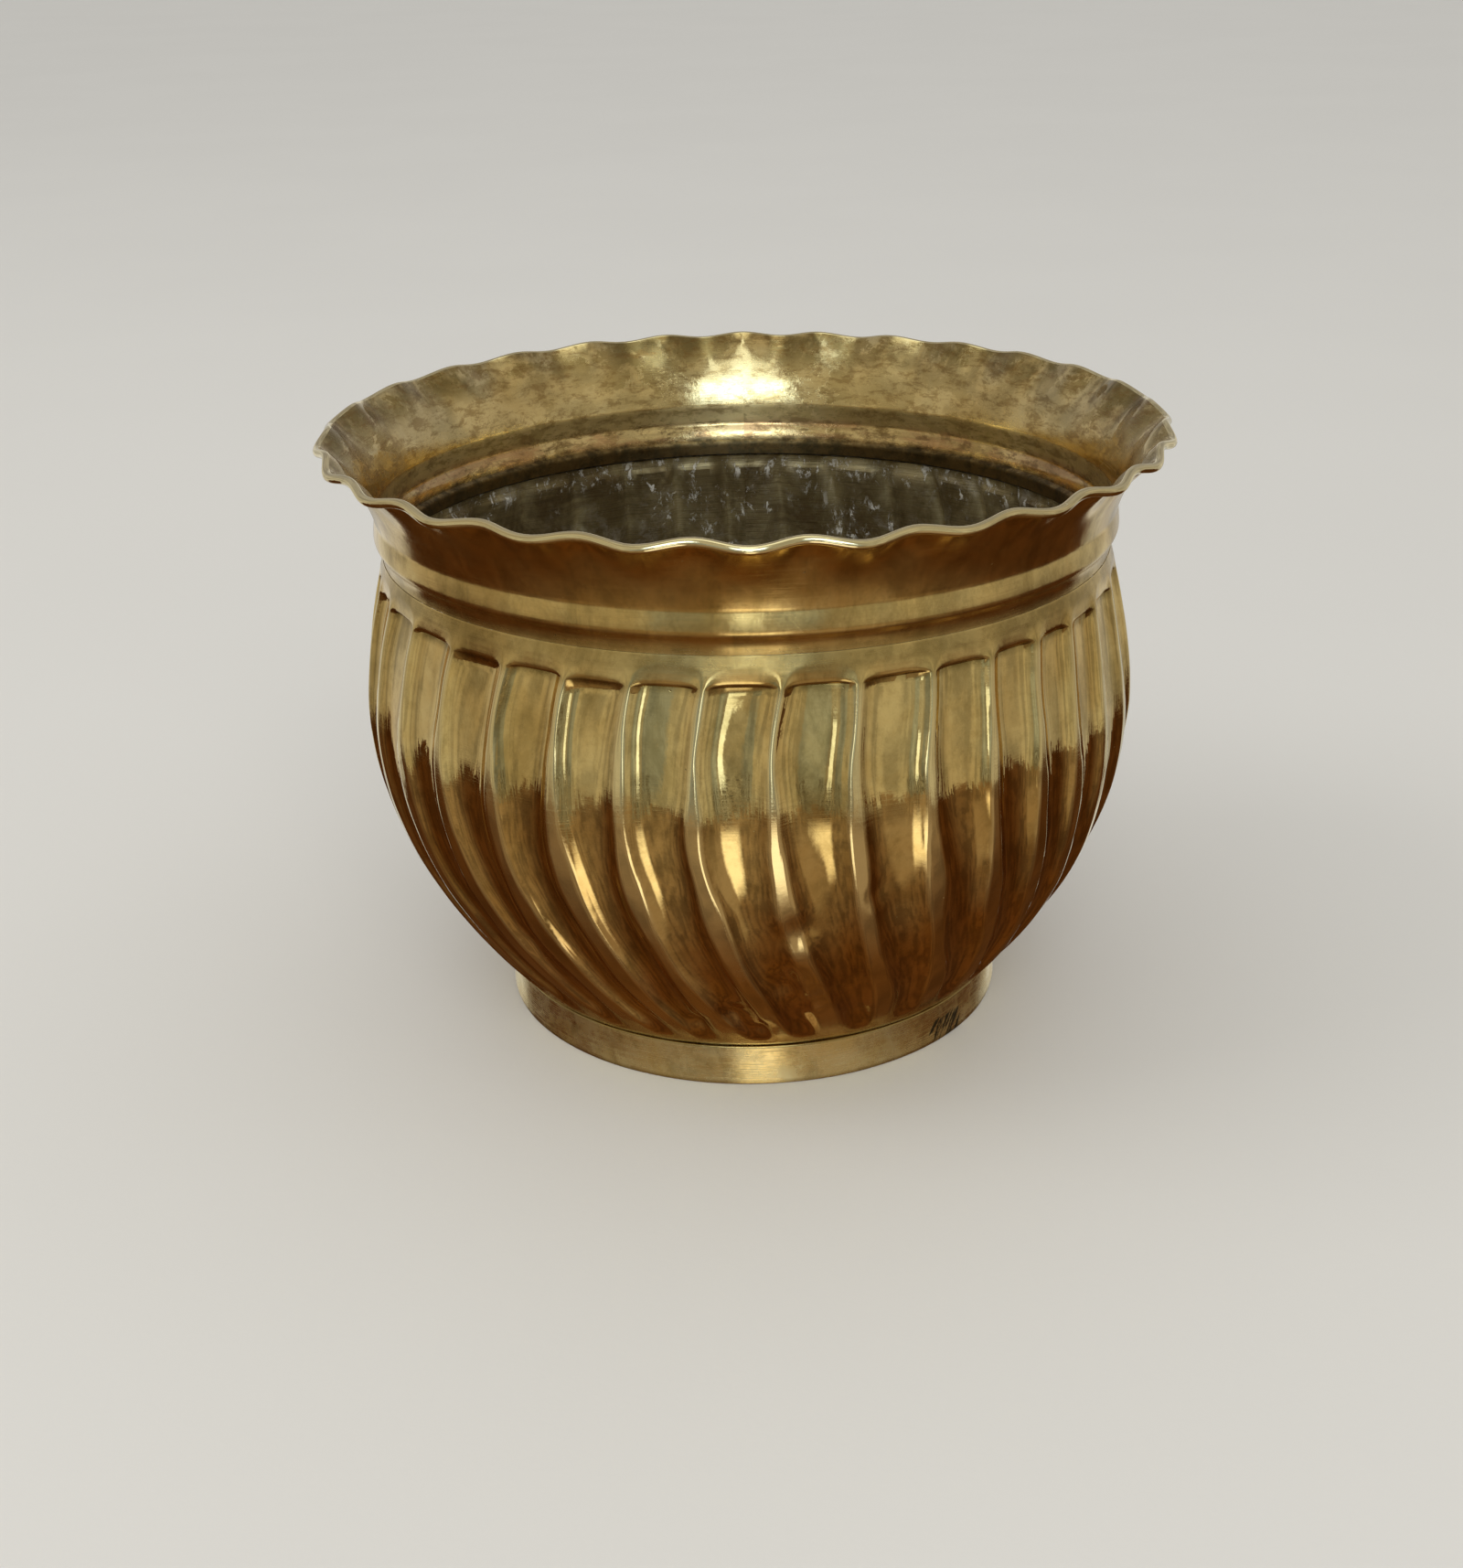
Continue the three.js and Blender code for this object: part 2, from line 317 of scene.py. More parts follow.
def make_bowl(outside, inside):
    """The fluted bowl, with the numbers for grime and painted shade in creases and hollows, and polish
    on ridges.
    """
    across = []  # places are closer together near the ridges
    for i in range(FLUTE_STEPS):
        even = i / FLUTE_STEPS
        across.append(mix(even, 0.5 + 0.5 * math.sin(math.pi * (even - 0.5)), 0.6))
    line, inner_from = bowl_outline()
    crest, grime_and_shade = [], []

    def place(row, column):
        radius, height, fluted = line[row]
        flute, step = divmod(column, FLUTE_STEPS)
        turn = math.radians(FIRST_RIDGE) + 2 * math.pi * (flute + across[step]) / FLUTE_COUNT
        along = (flute + across[step]) * 31.7  # keeps the sway of two flutes apart
        sway = 0.9 * wobble((along, height, 0), 22, 4) * fluted
        turn = hand_spaced(turn) + lean(height) + sway / radius
        hollow = fluted * flute_hollow(flute, across[step], height)
        spot = spot_at(radius, turn, height)
        hammered = 0.26 * wobble(spot, 34, 3) + 0.13 * wobble(spot, 14, 9) + 0.03 * wobble(spot, 7, 2)
        below_lip = fluted * smooth((LIP_HEIGHT - height) / 12)
        dent = fluted * dent_depth(radius, height, turn)

        crest.append(fluted * clamp(1 - hollow / 0.5) * smooth((165 - height) / 6))
        if row < inner_from:
            from_middle = abs(2 * across[step] - 1)
            # Outside: painted shade in the crease under each arch, and grime with painted shade under
            # the neck.
            in_crease = math.exp(-(((height - FLUTE_CREASE) / 1.3) ** 2)) * clamp(1.2 - from_middle**4)
            under_neck = 0.5 * smooth((height - 166.5) / 3.5)
            grime_and_shade.append(fluted * max(in_crease, under_neck))
        else:
            # Inside: painted shade on the bulges that the flutes make.
            grime_and_shade.append(smooth(hollow / FLUTE_DEPTH) * smooth((166 - height) / 4))
        return radius - hollow - dent - below_lip * (0.38 + hammered), height, turn

    columns = FLUTE_COUNT * FLUTE_STEPS
    metals = (outside, inside)
    bowl = turned_mesh("bowl_raised", len(line), columns, place, False, metals, inner_from)
    ends = [0, 0]  # the two places on the axis
    shade(bowl, "crest", crest + ends)
    shade(bowl, "grime_and_shade", grime_and_shade + ends)
    return bowl


# ---- neck collar ----------------------------------------------------------------------
def on_circle(centre, size, degrees):
    """A point of an outline on a circle; degrees run from straight out, upwards."""
    angle = math.radians(degrees)
    return centre[0] + size * math.cos(angle), centre[1] + size * math.sin(angle)


def arc(centre, size, start, end, count):
    """Points from start to end degrees round a circle."""
    return [on_circle(centre, size, mix(start, end, i / count)) for i in range(count + 1)]


def carried_on(line, size, start, end, count):
    """Adds an arc to a line, whose outward face tilts up from start to end degrees.

    A negative size makes the arc hollow instead of round.
    """
    centre = on_circle(line[-1], -size, start)
    return line + arc(centre, size, start, end, count)[1:]


def set_in(line, depth):
    """The same line, moved in by the thickness of the sheet, and run the other way."""
    inside = []
    for i, (radius, height) in enumerate(line):
        before, after = line[max(i - 1, 0)], line[min(i + 1, len(line) - 1)]
        along = (after[0] - before[0], after[1] - before[1])
        length = math.hypot(*along)
        inside.append((radius - depth * along[1] / length, height + depth * along[0] / length))
    return inside[::-1]


def collar_outline():
    """The collar's section as (radius, height): outside with rolled edge, and inside.

    The outside runs up the sleeve, out over the bowl's lip, up the moulding and the
    flare and round the rolled edge; the inside comes back down.  The third result is
    the row at which the rolled edge begins.
    """
    edge = (EDGE_RADIUS, EDGE_HEIGHT)
    flare = on_circle(edge, FLARE_ROUND - EDGE_ROUND + COLLAR_THICKNESS, -FLARE_END)
    flare_line = arc(flare, FLARE_ROUND, 180 - FLARE_START, 180 - FLARE_END, 26)
    moulding = [flare_line[0]]
    moulding = carried_on(moulding, BAND_ROUND, BAND_TILT, BULGE_TILT, 8)
    moulding = carried_on(moulding, BULGE_ROUND, BULGE_TILT, -COVE_TILT, 9)
    moulding = carried_on(moulding, -COVE_ROUND, -COVE_TILT, 4, 9)
    above_seat = [(radius, height) for radius, height in moulding[::-1] if height > SEAT_HEIGHT + 0.1]
    sheet = above_seat + flare_line[1:]
    outside = [(SLEEVE_RADIUS, height) for height in spaced(SLEEVE_BOTTOM, SEAT_HEIGHT - 0.3, 1.2)]
    outside += [(SLEEVE_RADIUS + 0.4, SEAT_HEIGHT), (sheet[0][0], SEAT_HEIGHT)] + sheet

    roll_end = 180 - FLARE_END - 360 + EDGE_OPENING
    roll = arc(edge, EDGE_ROUND - COLLAR_THICKNESS, 180 - FLARE_END, roll_end, 14)[1:]
    roll += arc(edge, EDGE_ROUND, roll_end, 180 - FLARE_END, 26)
    inside = set_in(sheet, COLLAR_THICKNESS)[1:]
    inside = [(radius, height) for radius, height in inside if height > SEAT_HEIGHT + 0.8]
    inner_sleeve = SLEEVE_RADIUS - COLLAR_THICKNESS
    inside += [(inner_sleeve + 0.3, SEAT_HEIGHT + 0.7), (inner_sleeve, SEAT_HEIGHT + 0.2)]
    inside += [(inner_sleeve, height) for height in spaced(SEAT_HEIGHT - 0.8, SLEEVE_BOTTOM, 1.2)]
    return outside + roll, inside, len(outside)


def collar_turn(turn):
    """The scallops start a little to the left, and are closer together on one side."""
    return turn + math.radians(-2.9) + math.radians(3.7) * math.cos(turn - math.radians(26))


def make_collar(outside_metal, inside_metal):
    """The collar, its edge waved by the scallops, with numbers for painted shade in its cove and under
    its rolled edge.
    """
    outside, inside, edge_from = collar_outline()
    line = outside + inside
    columns = SCALLOP_COUNT * SCALLOP_STEPS
    waves_from = EDGE_HEIGHT - SCALLOP_REACH
    grime_and_shade = []

    def place(row, column):
        radius, height = line[row]
        turn = 2 * math.pi * column / columns
        waved = clamp((height - waves_from) / (SCALLOP_REACH - EDGE_ROUND)) ** 1.5
        uneven = 1 - 0.3 * abs(noise.noise(Vector((math.sin(turn) * 5, math.cos(turn) * 5, 2.2))))
        wave = math.cos(SCALLOP_COUNT * turn) * waved * uneven
        in_flare = smooth((height - 176) / 12)
        flex = 0.12 * wobble(spot_at(radius, turn, height), 38, 5) * in_flare - 0.12 * waved
        # Painted shade in the cove at the waist and under the rolled edge.
        in_cove = 0.6 * clamp(1 - abs(height - WAIST_HEIGHT - 0.8) / 2.6) if row < edge_from else 0
        under_edge = clamp(1 - abs(row - edge_from - 7) / 12)
        grime_and_shade.append(max(under_edge, in_cove))
        return radius + SCALLOP_OUT * wave + flex, height - SCALLOP_DOWN * wave, collar_turn(turn)

    metals = (outside_metal, inside_metal)
    inner_from = len(outside) - 1
    collar = turned_mesh("neck_collar_spun", len(line), columns, place, True, metals, inner_from)
    shade(collar, "grime_and_shade", grime_and_shade)
    return collar


# ---- foot -----------------------------------------------------------------------------
def foot_outline():
    """An upright band, very slightly waisted, with rounded outer edges."""
    inner = FOOT_RADIUS - FOOT_THICKNESS
    round_at = FOOT_RADIUS - FOOT_ROUNDING
    straight = FOOT_HEIGHT - 2 * FOOT_ROUNDING
    line = [(inner, 0), (inner + 0.5, 0)]
    line += arc((round_at, FOOT_ROUNDING), FOOT_ROUNDING, -90, 0, 5)
    for height in spaced(FOOT_ROUNDING, FOOT_HEIGHT - FOOT_ROUNDING, 0.9)[1:-1]:
        waist = math.sin(math.pi * (height - FOOT_ROUNDING) / straight)
        line.append((FOOT_RADIUS - FOOT_WAIST * waist, height))
    line += arc((round_at, FOOT_HEIGHT - FOOT_ROUNDING), FOOT_ROUNDING, 0, 90, 5)
    line += [(inner + 0.5, FOOT_HEIGHT), (inner, FOOT_HEIGHT)]
    line += [(inner, height) for height in spaced(FOOT_HEIGHT, 0, 2.5)[1:-1]]
    return line


def make_foot(metal):
    line = foot_outline()
    columns = 240

    def place(row, column):
        radius, height = line[row]
        turn = 2 * math.pi * column / columns
        uneven = 0.08 + 0.08 * wobble(spot_at(radius, turn, height), 25, 7)
        return radius - uneven, height, turn

    return turned_mesh("foot_band", len(line), columns, place, True, (metal,))


# ---- solder ---------------------------------------------------------------------------
def make_solder(name, corners, lump, metal):
    """A lumpy fillet run round a joint; corners are its three (radius, height) corners."""
    middle = [sum(lengths) / 3 for lengths in zip(*corners)]
    line = []
    for corner, following in zip(corners, corners[1:] + corners[:1]):
        for share in (0, 1 / 3, 2 / 3):
            line.append([mix(a, b, share) for a, b in zip(corner, following)])
    columns = 480

    def place(row, column):
        radius, height = line[row]
        turn = 2 * math.pi * column / columns
        spot = spot_at(middle[0], turn, row * 0.6)
        share = 0.75 + lump * wobble(spot, 4, 1) + 0.5 * lump * wobble(spot, 1.6, 2)
        return mix(middle[0], radius, share), mix(middle[1], height, share), turn

    return turned_mesh(name, len(line), columns, place, True, (metal,))


# ---- nodes ----------------------------------------------------------------------------
class Nodes:
    """Adds shader nodes to a tree.  Inputs may be numbers, colours or other nodes' sockets."""

    def add(self, kind, inputs=None, **settings):
        node = self.tree.nodes.new("ShaderNode" + kind)
        for key, value in settings.items():
            setattr(node, key, value)
        for key, value in (inputs or {}).items():
            self.feed(node.inputs[key], value)
        return node

    def feed(self, socket, value):
        if isinstance(value, bpy.types.NodeSocket):
            self.tree.links.new(value, socket)
        else:
            socket.default_value = value

    def math(self, operation, first, second=0.0, limit=False):
        node = self.add("Math", {0: first, 1: second}, operation=operation, use_clamp=limit)
        return node.outputs[0]

    def plus(self, first, second):
        return self.math("ADD", first, second)

    def minus(self, first, second):
        return self.math("SUBTRACT", first, second)

    def times(self, first, second):
        return self.math("MULTIPLY", first, second)

    def greater(self, first, second):
        return self.math("MAXIMUM", first, second)

    def limited(self, value):
        """The value, kept between 0 and 1."""
        return self.math("ADD", value, 0.0, True)

    def range(self, value, low, high, to_low=0.0, to_high=1.0):
        """Runs smoothly from to_low to to_high as the value goes from low to high."""
        inputs = {0: value, 1: low, 2: high, 3: to_low, 4: to_high}
        return self.add("MapRange", inputs, interpolation_type="SMOOTHSTEP").outputs[0]

    def noise(self, place, scale, detail=3.0, roughness=0.55, distortion=0.0):
        inputs = {
            "Vector": place,
            "Scale": scale,
            "Detail": detail,
            "Roughness": roughness,
            "Distortion": distortion,
        }
        return self.add("TexNoise", inputs).outputs[0]

    def blend(self, share, first, second, how="MIX"):
        inputs = {0: share, 6: first, 7: second}
        return self.add("Mix", inputs, data_type="RGBA", blend_type=how).outputs[2]


# ---- materials ------------------------------------------------------------------------
# Heights in the materials are millimetres, and scales of noise are per metre.
POLISHED = (0.96, 0.80, 0.43, 1)
PALE = (0.95, 0.82, 0.46, 1)
# pale brass for the painted highlight on the rolled edge
RUBBED_HIGHLIGHT = (0.96, 0.84, 0.50, 1)
MELLOW = (0.88, 0.71, 0.36, 1)
MELLOW_DARK = (0.76, 0.57, 0.25, 1)
BRIGHT = (0.86, 0.66, 0.28, 1)
WARM = (0.74, 0.51, 0.18, 1)
COPPERY = (0.60, 0.36, 0.17, 1)
DULL = (0.60, 0.51, 0.29, 1)
DULL_DARK = (0.27, 0.21, 0.10, 1)
OLIVE = (0.36, 0.25, 0.075, 1)
OLIVE_DARK = (0.27, 0.20, 0.075, 1)
# olive for grime and painted shade
GRIME_AND_SHADE = (0.27, 0.19, 0.06, 1)
RUSTY = (0.30, 0.17, 0.05, 1)
# dark brown for the painted shade on the inside bulges
BULGE_SHADE = (0.12, 0.08, 0.028, 1)
BROWN = (0.115, 0.070, 0.026, 1)
DARK = (0.045, 0.032, 0.016, 1)
SCALE_WHITE = (0.80, 0.79, 0.73, 1)


class Graph(Nodes):
    """The nodes of one material."""

    def __init__(self, name):
        self.material = bpy.data.materials.new(name)
        self.material.use_nodes = True
        self.tree = self.material.node_tree
        self.shader = self.tree.nodes["Principled BSDF"]

    def tinted(self, share, strength, first, second):
        """The first colour, with the second laid over it where share is 1."""
        return self.blend(self.times(share, strength), first, second)

    def patches(self, place, across, up, detail, roughness, distortion=0.0):
        """Noise with different scales across and up the surface."""
        stretched = self.add("Mapping", {"Vector": place, "Scale": (across, up, 1.0)}).outputs[0]
        return self.noise(stretched, 1.0, detail, roughness, distortion)

    def slanted(self, place, angle):
        return self.add("Mapping", {"Vector": place, "Rotation": (0, 0, angle)}).outputs[0]

    def attribute(self, name):
        return self.add("Attribute", attribute_name=name).outputs["Fac"]

    def place(self):
        return self.add("TexCoord").outputs["Object"]

    def unrolled(self):
        """The place, the surface unrolled, and the height.

        Unrolled, a place is (distance round the pot, height, distance from the axis).
        """
        place = self.place()
        x, y, z = self.add("SeparateXYZ", {0: place}).outputs
        turn = self.math("ARCTAN2", x, self.times(y, -1))
        around = self.times(turn, WALL_RADIUS * MM)
        squares = [self.math("POWER", length, 2.0) for length in (x, y)]
        radius = self.math("SQRT", self.plus(*squares))
        joined = self.add("CombineXYZ", {0: around, 1: z, 2: radius})
        return place, joined.outputs[0], self.times(z, 1 / MM)

    def level_scratches(self, unrolled, low, high):
        """Fine level lines from lathe and polishing cloth: 1 on a scratch, 0 between."""
        return self.range(self.patches(unrolled, 40, 2600, 2, 0.7), low, high)

    def cross_scratches(self, unrolled, low, high):
        """Short slanting scratches that cross the level ones."""
        return self.range(self.patches(self.slanted(unrolled, 0.9), 70, 2400, 1, 0.5), low, high)

    def finish(self, colour, roughness, relief, depth, metallic=1.0, grain=0.0):
        """Wires up the shader; depth is the relief's, in millimetres.

        Grain draws highlights out upwards, across the level scratches.
        """
        bump = self.add("Bump", {"Strength": 1.0, "Distance": depth * MM, "Height": relief})
        self.feed(self.shader.inputs["Base Color"], colour)
        self.feed(self.shader.inputs["Roughness"], roughness)
        self.feed(self.shader.inputs["Metallic"], metallic)
        self.feed(self.shader.inputs["Normal"], bump.outputs[0])
        if grain:
            around = self.add("Tangent", direction_type="RADIAL", axis="Z")
            self.feed(self.shader.inputs["Tangent"], around.outputs[0])
            self.feed(self.shader.inputs["Anisotropic"], grain)
            self.feed(self.shader.inputs["Anisotropic Rotation"], 0.25)
        return self.material


def polished_brass(name, low_copper_and_reflection, haze, scratched):
    """Polished brass: mottled tone, olive grime and painted shade in creases and under edges, a
    coppery tint towards the bottom that is partly painted reflection, a painted highlight on the bead,
    fine scratches, dark pits.
    """
    g = Graph(name)
    place, unrolled, height = g.unrolled()

    cloud = g.noise(place, 20, 6, 0.66, 0.4)
    # A coppery tint that grows towards the bottom: partly copper patina, partly a painted reflection
    # of the brown table.
    low = g.range(height, 115, 20, 0.0, low_copper_and_reflection)
    coppery_patches = g.range(g.noise(place, 34, 6, 0.68), 0.32, 0.60)
    veil = g.range(g.patches(unrolled, 60, 26, 7, 0.72, 0.5), 0.44, 0.66)
    speckle = g.range(g.noise(place, 170, 5, 0.75), 0.44, 0.70)
    pitted = g.range(g.noise(place, 40, 2), 0.46, 0.60)
    pits = g.times(g.range(g.noise(place, 380, 3, 0.6), 0.735, 0.765), pitted)
    crust = g.range(g.noise(place, 120, 6, 0.7), 0.30, 0.62)
    # Painted shade and grime from the mesh's numbers, patchy but at least half strength.
    grime_and_shade = g.times(g.attribute("grime_and_shade"), g.greater(crust, 0.55))
    # A painted highlight along the top of the rolled edge, over rubbed pale brass.
    bead_top_highlight = g.range(height, EDGE_HEIGHT - 1.8, EDGE_HEIGHT - 0.8)
    crest = g.attribute("crest")
    colour = g.blend(g.range(cloud, 0.36, 0.66), BRIGHT, WARM)
    colour = g.tinted(low, coppery_patches, colour, COPPERY)
    colour = g.tinted(veil, 0.5, colour, OLIVE)
    colour = g.tinted(speckle, 0.3, colour, OLIVE)
    colour = g.blend(grime_and_shade, colour, GRIME_AND_SHADE)
    colour = g.blend(pits, colour, DARK)
    colour = g.tinted(bead_top_highlight, 0.75, colour, RUBBED_HIGHLIGHT)
    colour = g.tinted(crest, 0.75, colour, POLISHED)

    level = g.level_scratches(unrolled, 0.50, 0.60)
    cross = g.cross_scratches(unrolled, 0.62, 0.70)
    worn = g.times(g.range(g.noise(place, 28, 4, 0.6), 0.34, 0.62), scratched)
    lines = g.times(g.greater(level, cross), worn)
    hazy = g.range(g.noise(place, 55, 5, 0.7), 0.35, 0.7, haze, haze * 2.4)
    on_neck = g.times(g.range(height, 163.5, 166.5), g.range(height, 212, 206))
    rough = g.greater(hazy, g.times(on_neck, 0.15))
    for part, added in ((crest, 0.06), (lines, 0.08), (grime_and_shade, 0.20), (pits, 0.4)):
        rough = g.plus(rough, g.times(part, added))

    relief = g.minus(g.noise(place, 150, 3, 0.5), g.times(lines, 0.03))
    relief = g.minus(relief, g.times(pits, 1.2))
    return g.finish(colour, g.limited(rough), relief, 0.06, grain=0.88)


def flare_brass():
    """Inside of the flare and neck: mottled, with sharp-edged tarnish and drip streaks, a painted
    shadow near the rim, and a dark crusted sleeve that is partly painted shade under the lip.
    """
    g = Graph("tarnished_brass")
    place, unrolled, height = g.unrolled()

    cloud = g.noise(place, 26, 6, 0.68, 0.5)
    near_rim = g.range(height, 200, 213)
    tarnished = g.greater(g.range(g.noise(place, 12, 3), 0.40, 0.62, 0.15, 1.0), near_rim)
    patch = g.times(g.range(g.patches(unrolled, 70, 95, 9, 0.72, 0.35), 0.495, 0.525), tarnished)
    shadow = g.times(near_rim, g.range(g.noise(place, 45, 5, 0.7), 0.36, 0.62))
    speckle = g.range(g.patches(unrolled, 110, 260, 6, 0.78, 0.3), 0.47, 0.62)
    band = g.times(g.range(height, 184.5, 181), g.range(height, 174, 176.5))
    blotch = g.range(g.patches(unrolled, 28, 90, 6, 0.7, 0.4), 0.42, 0.60, 0.12, 0.85)
    crust = g.noise(place, 150, 7, 0.72)
    ragged = g.plus(height, g.times(g.minus(crust, 0.5), 6))
    # The sleeve below the lip: dark brown crust and painted shade, with a ragged top.
    sleeve_crust_and_shade = g.range(ragged, 177.5, 173.8)
    colour = g.blend(g.range(cloud, 0.34, 0.66), MELLOW, MELLOW_DARK)
    colour = g.tinted(patch, 0.62, colour, OLIVE)
    colour = g.tinted(shadow, 0.9, colour, OLIVE_DARK)
    colour = g.tinted(speckle, 0.6, colour, RUSTY)
    colour = g.tinted(band, blotch, colour, COPPERY)
    colour = g.tinted(g.times(band, speckle), 0.5, colour, BROWN)
    colour = g.tinted(sleeve_crust_and_shade, 0.93, colour, g.blend(g.range(crust, 0.40, 0.58), DARK, BROWN))

    level = g.level_scratches(unrolled, 0.48, 0.60)
    below_flare = g.times(g.range(height, 190, 188), g.range(height, 180, 183))
    rough = g.range(g.noise(place, 60, 5, 0.7), 0.35, 0.7, 0.05, 0.15)
    for part, added in ((below_flare, 0.32), (level, 0.08), (patch, 0.18), (sleeve_crust_and_shade, 0.3)):
        rough = g.plus(rough, g.times(part, added))

    relief = g.minus(g.noise(place, 190, 4, 0.6), g.times(level, 0.04))
    relief = g.minus(relief, g.times(patch, 0.15))
    relief = g.plus(relief, g.times(g.times(sleeve_crust_and_shade, crust), 3.0))
    return g.finish(colour, g.limited(rough), relief, 0.09, grain=0.8)


def inside_brass():
    """Inside of the bowl: dull olive brown, painted shade on the flutes' bulges, lathe lines, white
    limescale and dirt.
    """
    g = Graph("dull_brass")
    place, unrolled, height = g.unrolled()
    unrolled = g.blend(g.range(height, 24, 17.5), unrolled, place)  # the bottom is flat

    cloud = g.patches(unrolled, 38, 20, 7, 0.7, 0.6)
    # Painted shade on the bulges that the flutes make inside, patchy.
    shaded_bulge = g.times(g.attribute("grime_and_shade"), g.range(g.noise(place, 40, 5, 0.7), 0.3, 0.6, 0.55, 1.0))
    tide = g.range(g.patches(unrolled, 26, 40, 8, 0.76, 0.6), 0.46, 0.64, 0.0, 0.6)
    level = g.level_scratches(unrolled, 0.46, 0.60)
    ledge = g.times(g.range(height, 156, 162), g.range(height, 172, 168))
    chalky = g.greater(g.range(g.noise(place, 30, 4, 0.6), 0.47, 0.60), g.times(ledge, 0.8))
    flecks = g.times(g.range(g.patches(unrolled, 210, 110, 7, 0.82, 0.4), 0.555, 0.59), chalky)
    film = g.range(g.noise(place, 60, 8, 0.80, 0.3), 0.50, 0.72, 0.0, 0.3)
    white = g.greater(flecks, film)
    colour = g.blend(g.range(cloud, 0.38, 0.62), DULL, DULL_DARK)
    colour = g.tinted(shaded_bulge, 0.62, colour, BULGE_SHADE)
    colour = g.blend(tide, colour, BROWN)
    colour = g.tinted(level, 0.3, colour, DARK)
    colour = g.blend(white, colour, SCALE_WHITE)

    rough = g.plus(g.range(cloud, 0.3, 0.7, 0.40, 0.56), g.times(white, 0.3))
    relief = g.minus(g.noise(place, 220, 5, 0.6), g.times(level, 0.25))
    relief = g.plus(relief, g.times(flecks, 0.6))
    metallic = g.minus(0.75, g.times(white, 0.7))
    return g.finish(colour, g.limited(rough), relief, 0.18, g.limited(metallic))


def foot_brass():
    """The foot: brushed by years of sliding, hazy, with a few black streaks, and painted shade along
    its bottom and top edges.
    """
    g = Graph("worn_brass")
    place, unrolled, height = g.unrolled()

    cloud = g.noise(place, 36, 6, 0.66, 0.4)
    veil = g.range(g.patches(unrolled, 60, 60, 6, 0.7, 0.5), 0.50, 0.66)
    streaks_at = 110 * MM  # distance round from the front to the middle of the streaks
    around = g.add("SeparateXYZ", {0: unrolled}).outputs[0]
    apart = g.math("ABSOLUTE", g.minus(around, streaks_at))
    near_streaks = g.times(g.range(apart, 30 * MM, 6 * MM), g.range(height, 12.5, 8.5))
    streaks = g.patches(g.slanted(unrolled, -0.75), 60, 420, 4, 0.6, 0.5)
    black = g.range(g.times(streaks, near_streaks), 0.50, 0.515)
    # Painted shade along the edges, where the foot meets the floor and the bowl.
    shade_at_floor = g.range(height, 2.2, 0.4, 0.0, 0.6)
    shade_under_bowl = g.range(height, FOOT_HEIGHT - 1, FOOT_HEIGHT - 0.3, 0.0, 0.7)
    colour = g.blend(g.range(cloud, 0.36, 0.66), PALE, BRIGHT)
    colour = g.tinted(veil, 0.4, colour, OLIVE)
    colour = g.blend(g.greater(shade_at_floor, shade_under_bowl), colour, OLIVE)
    colour = g.tinted(black, 0.95, colour, DARK)

    level = g.level_scratches(unrolled, 0.48, 0.60)
    rough = g.range(g.noise(place, 80, 6, 0.75), 0.35, 0.7, 0.20, 0.34)
    for part, added in ((level, 0.08), (black, 0.3)):
        rough = g.plus(rough, g.times(part, added))
    relief = g.minus(g.noise(place, 260, 4, 0.6), g.times(level, 0.12))
    return g.finish(colour, g.limited(rough), relief, 0.07, grain=0.8)


def solder_metal():
    """Old solder: dull grey, pitted, with brown corrosion."""
    g = Graph("old_solder")
    place = g.place()
    cloud = g.noise(place, 260, 5, 0.7)
    colour = g.blend(g.range(cloud, 0.35, 0.65), (0.16, 0.145, 0.12, 1), (0.035, 0.03, 0.025, 1))
    rough = g.range(cloud, 0.3, 0.7, 0.5, 0.8)
    return g.finish(colour, rough, g.noise(place, 700, 4, 0.6), 0.3, 0.7)


def wire_metal():
    """Iron wire, brown with rust in places."""
    g = Graph("drawn_wire")
    place = g.place()
    cloud = g.noise(place, 120, 4, 0.6)
    colour = g.blend(g.range(cloud, 0.35, 0.65), (0.14, 0.12, 0.10, 1), (0.20, 0.09, 0.04, 1))
    rough = g.range(cloud, 0.3, 0.7, 0.4, 0.7)
    return g.finish(colour, rough, g.noise(place, 500, 3), 0.1)


# ---- studio ---------------------------------------------------------------------------
def make_floor():
    """A plain pale floor, which the metal doesn't mirror."""
    reach = 14
    corners = [(-reach, -reach, 0), (reach, -reach, 0), (reach, reach, 0), (-reach, reach, 0)]
    mesh = bpy.data.meshes.new("floor")
    mesh.from_pydata(corners, [], [(0, 1, 2, 3)])
    g = Graph("pale_floor")
    place = g.place()
    tone = g.range(g.noise(place, 3, 2), 0.3, 0.7)
    colour = g.blend(tone, (0.725, 0.715, 0.69, 1), (0.735, 0.725, 0.70, 1))
    mesh.materials.append(g.finish(colour, 0.6, g.noise(place, 400, 2), 0.05, 0.0))
    floor = bpy.data.objects.new("floor", mesh)
    bpy.context.collection.objects.link(floor)
    floor.visible_glossy = False


def make_light(name, place, aim, power, colour):
    """A square soft light, which the metal doesn't mirror."""
    data = bpy.data.lights.new(name, "AREA")
    data.shape = "RECTANGLE"
    data.size = 1.6
    data.size_y = 1.6
    data.energy = power
    data.color = colour
    light = bpy.data.objects.new(name, data)
    light.location = place
    towards = Vector(aim) - Vector(place)
    light.rotation_euler = towards.to_track_quat("-Z", "Y").to_euler()
    light.visible_glossy = False
    bpy.context.collection.objects.link(light)


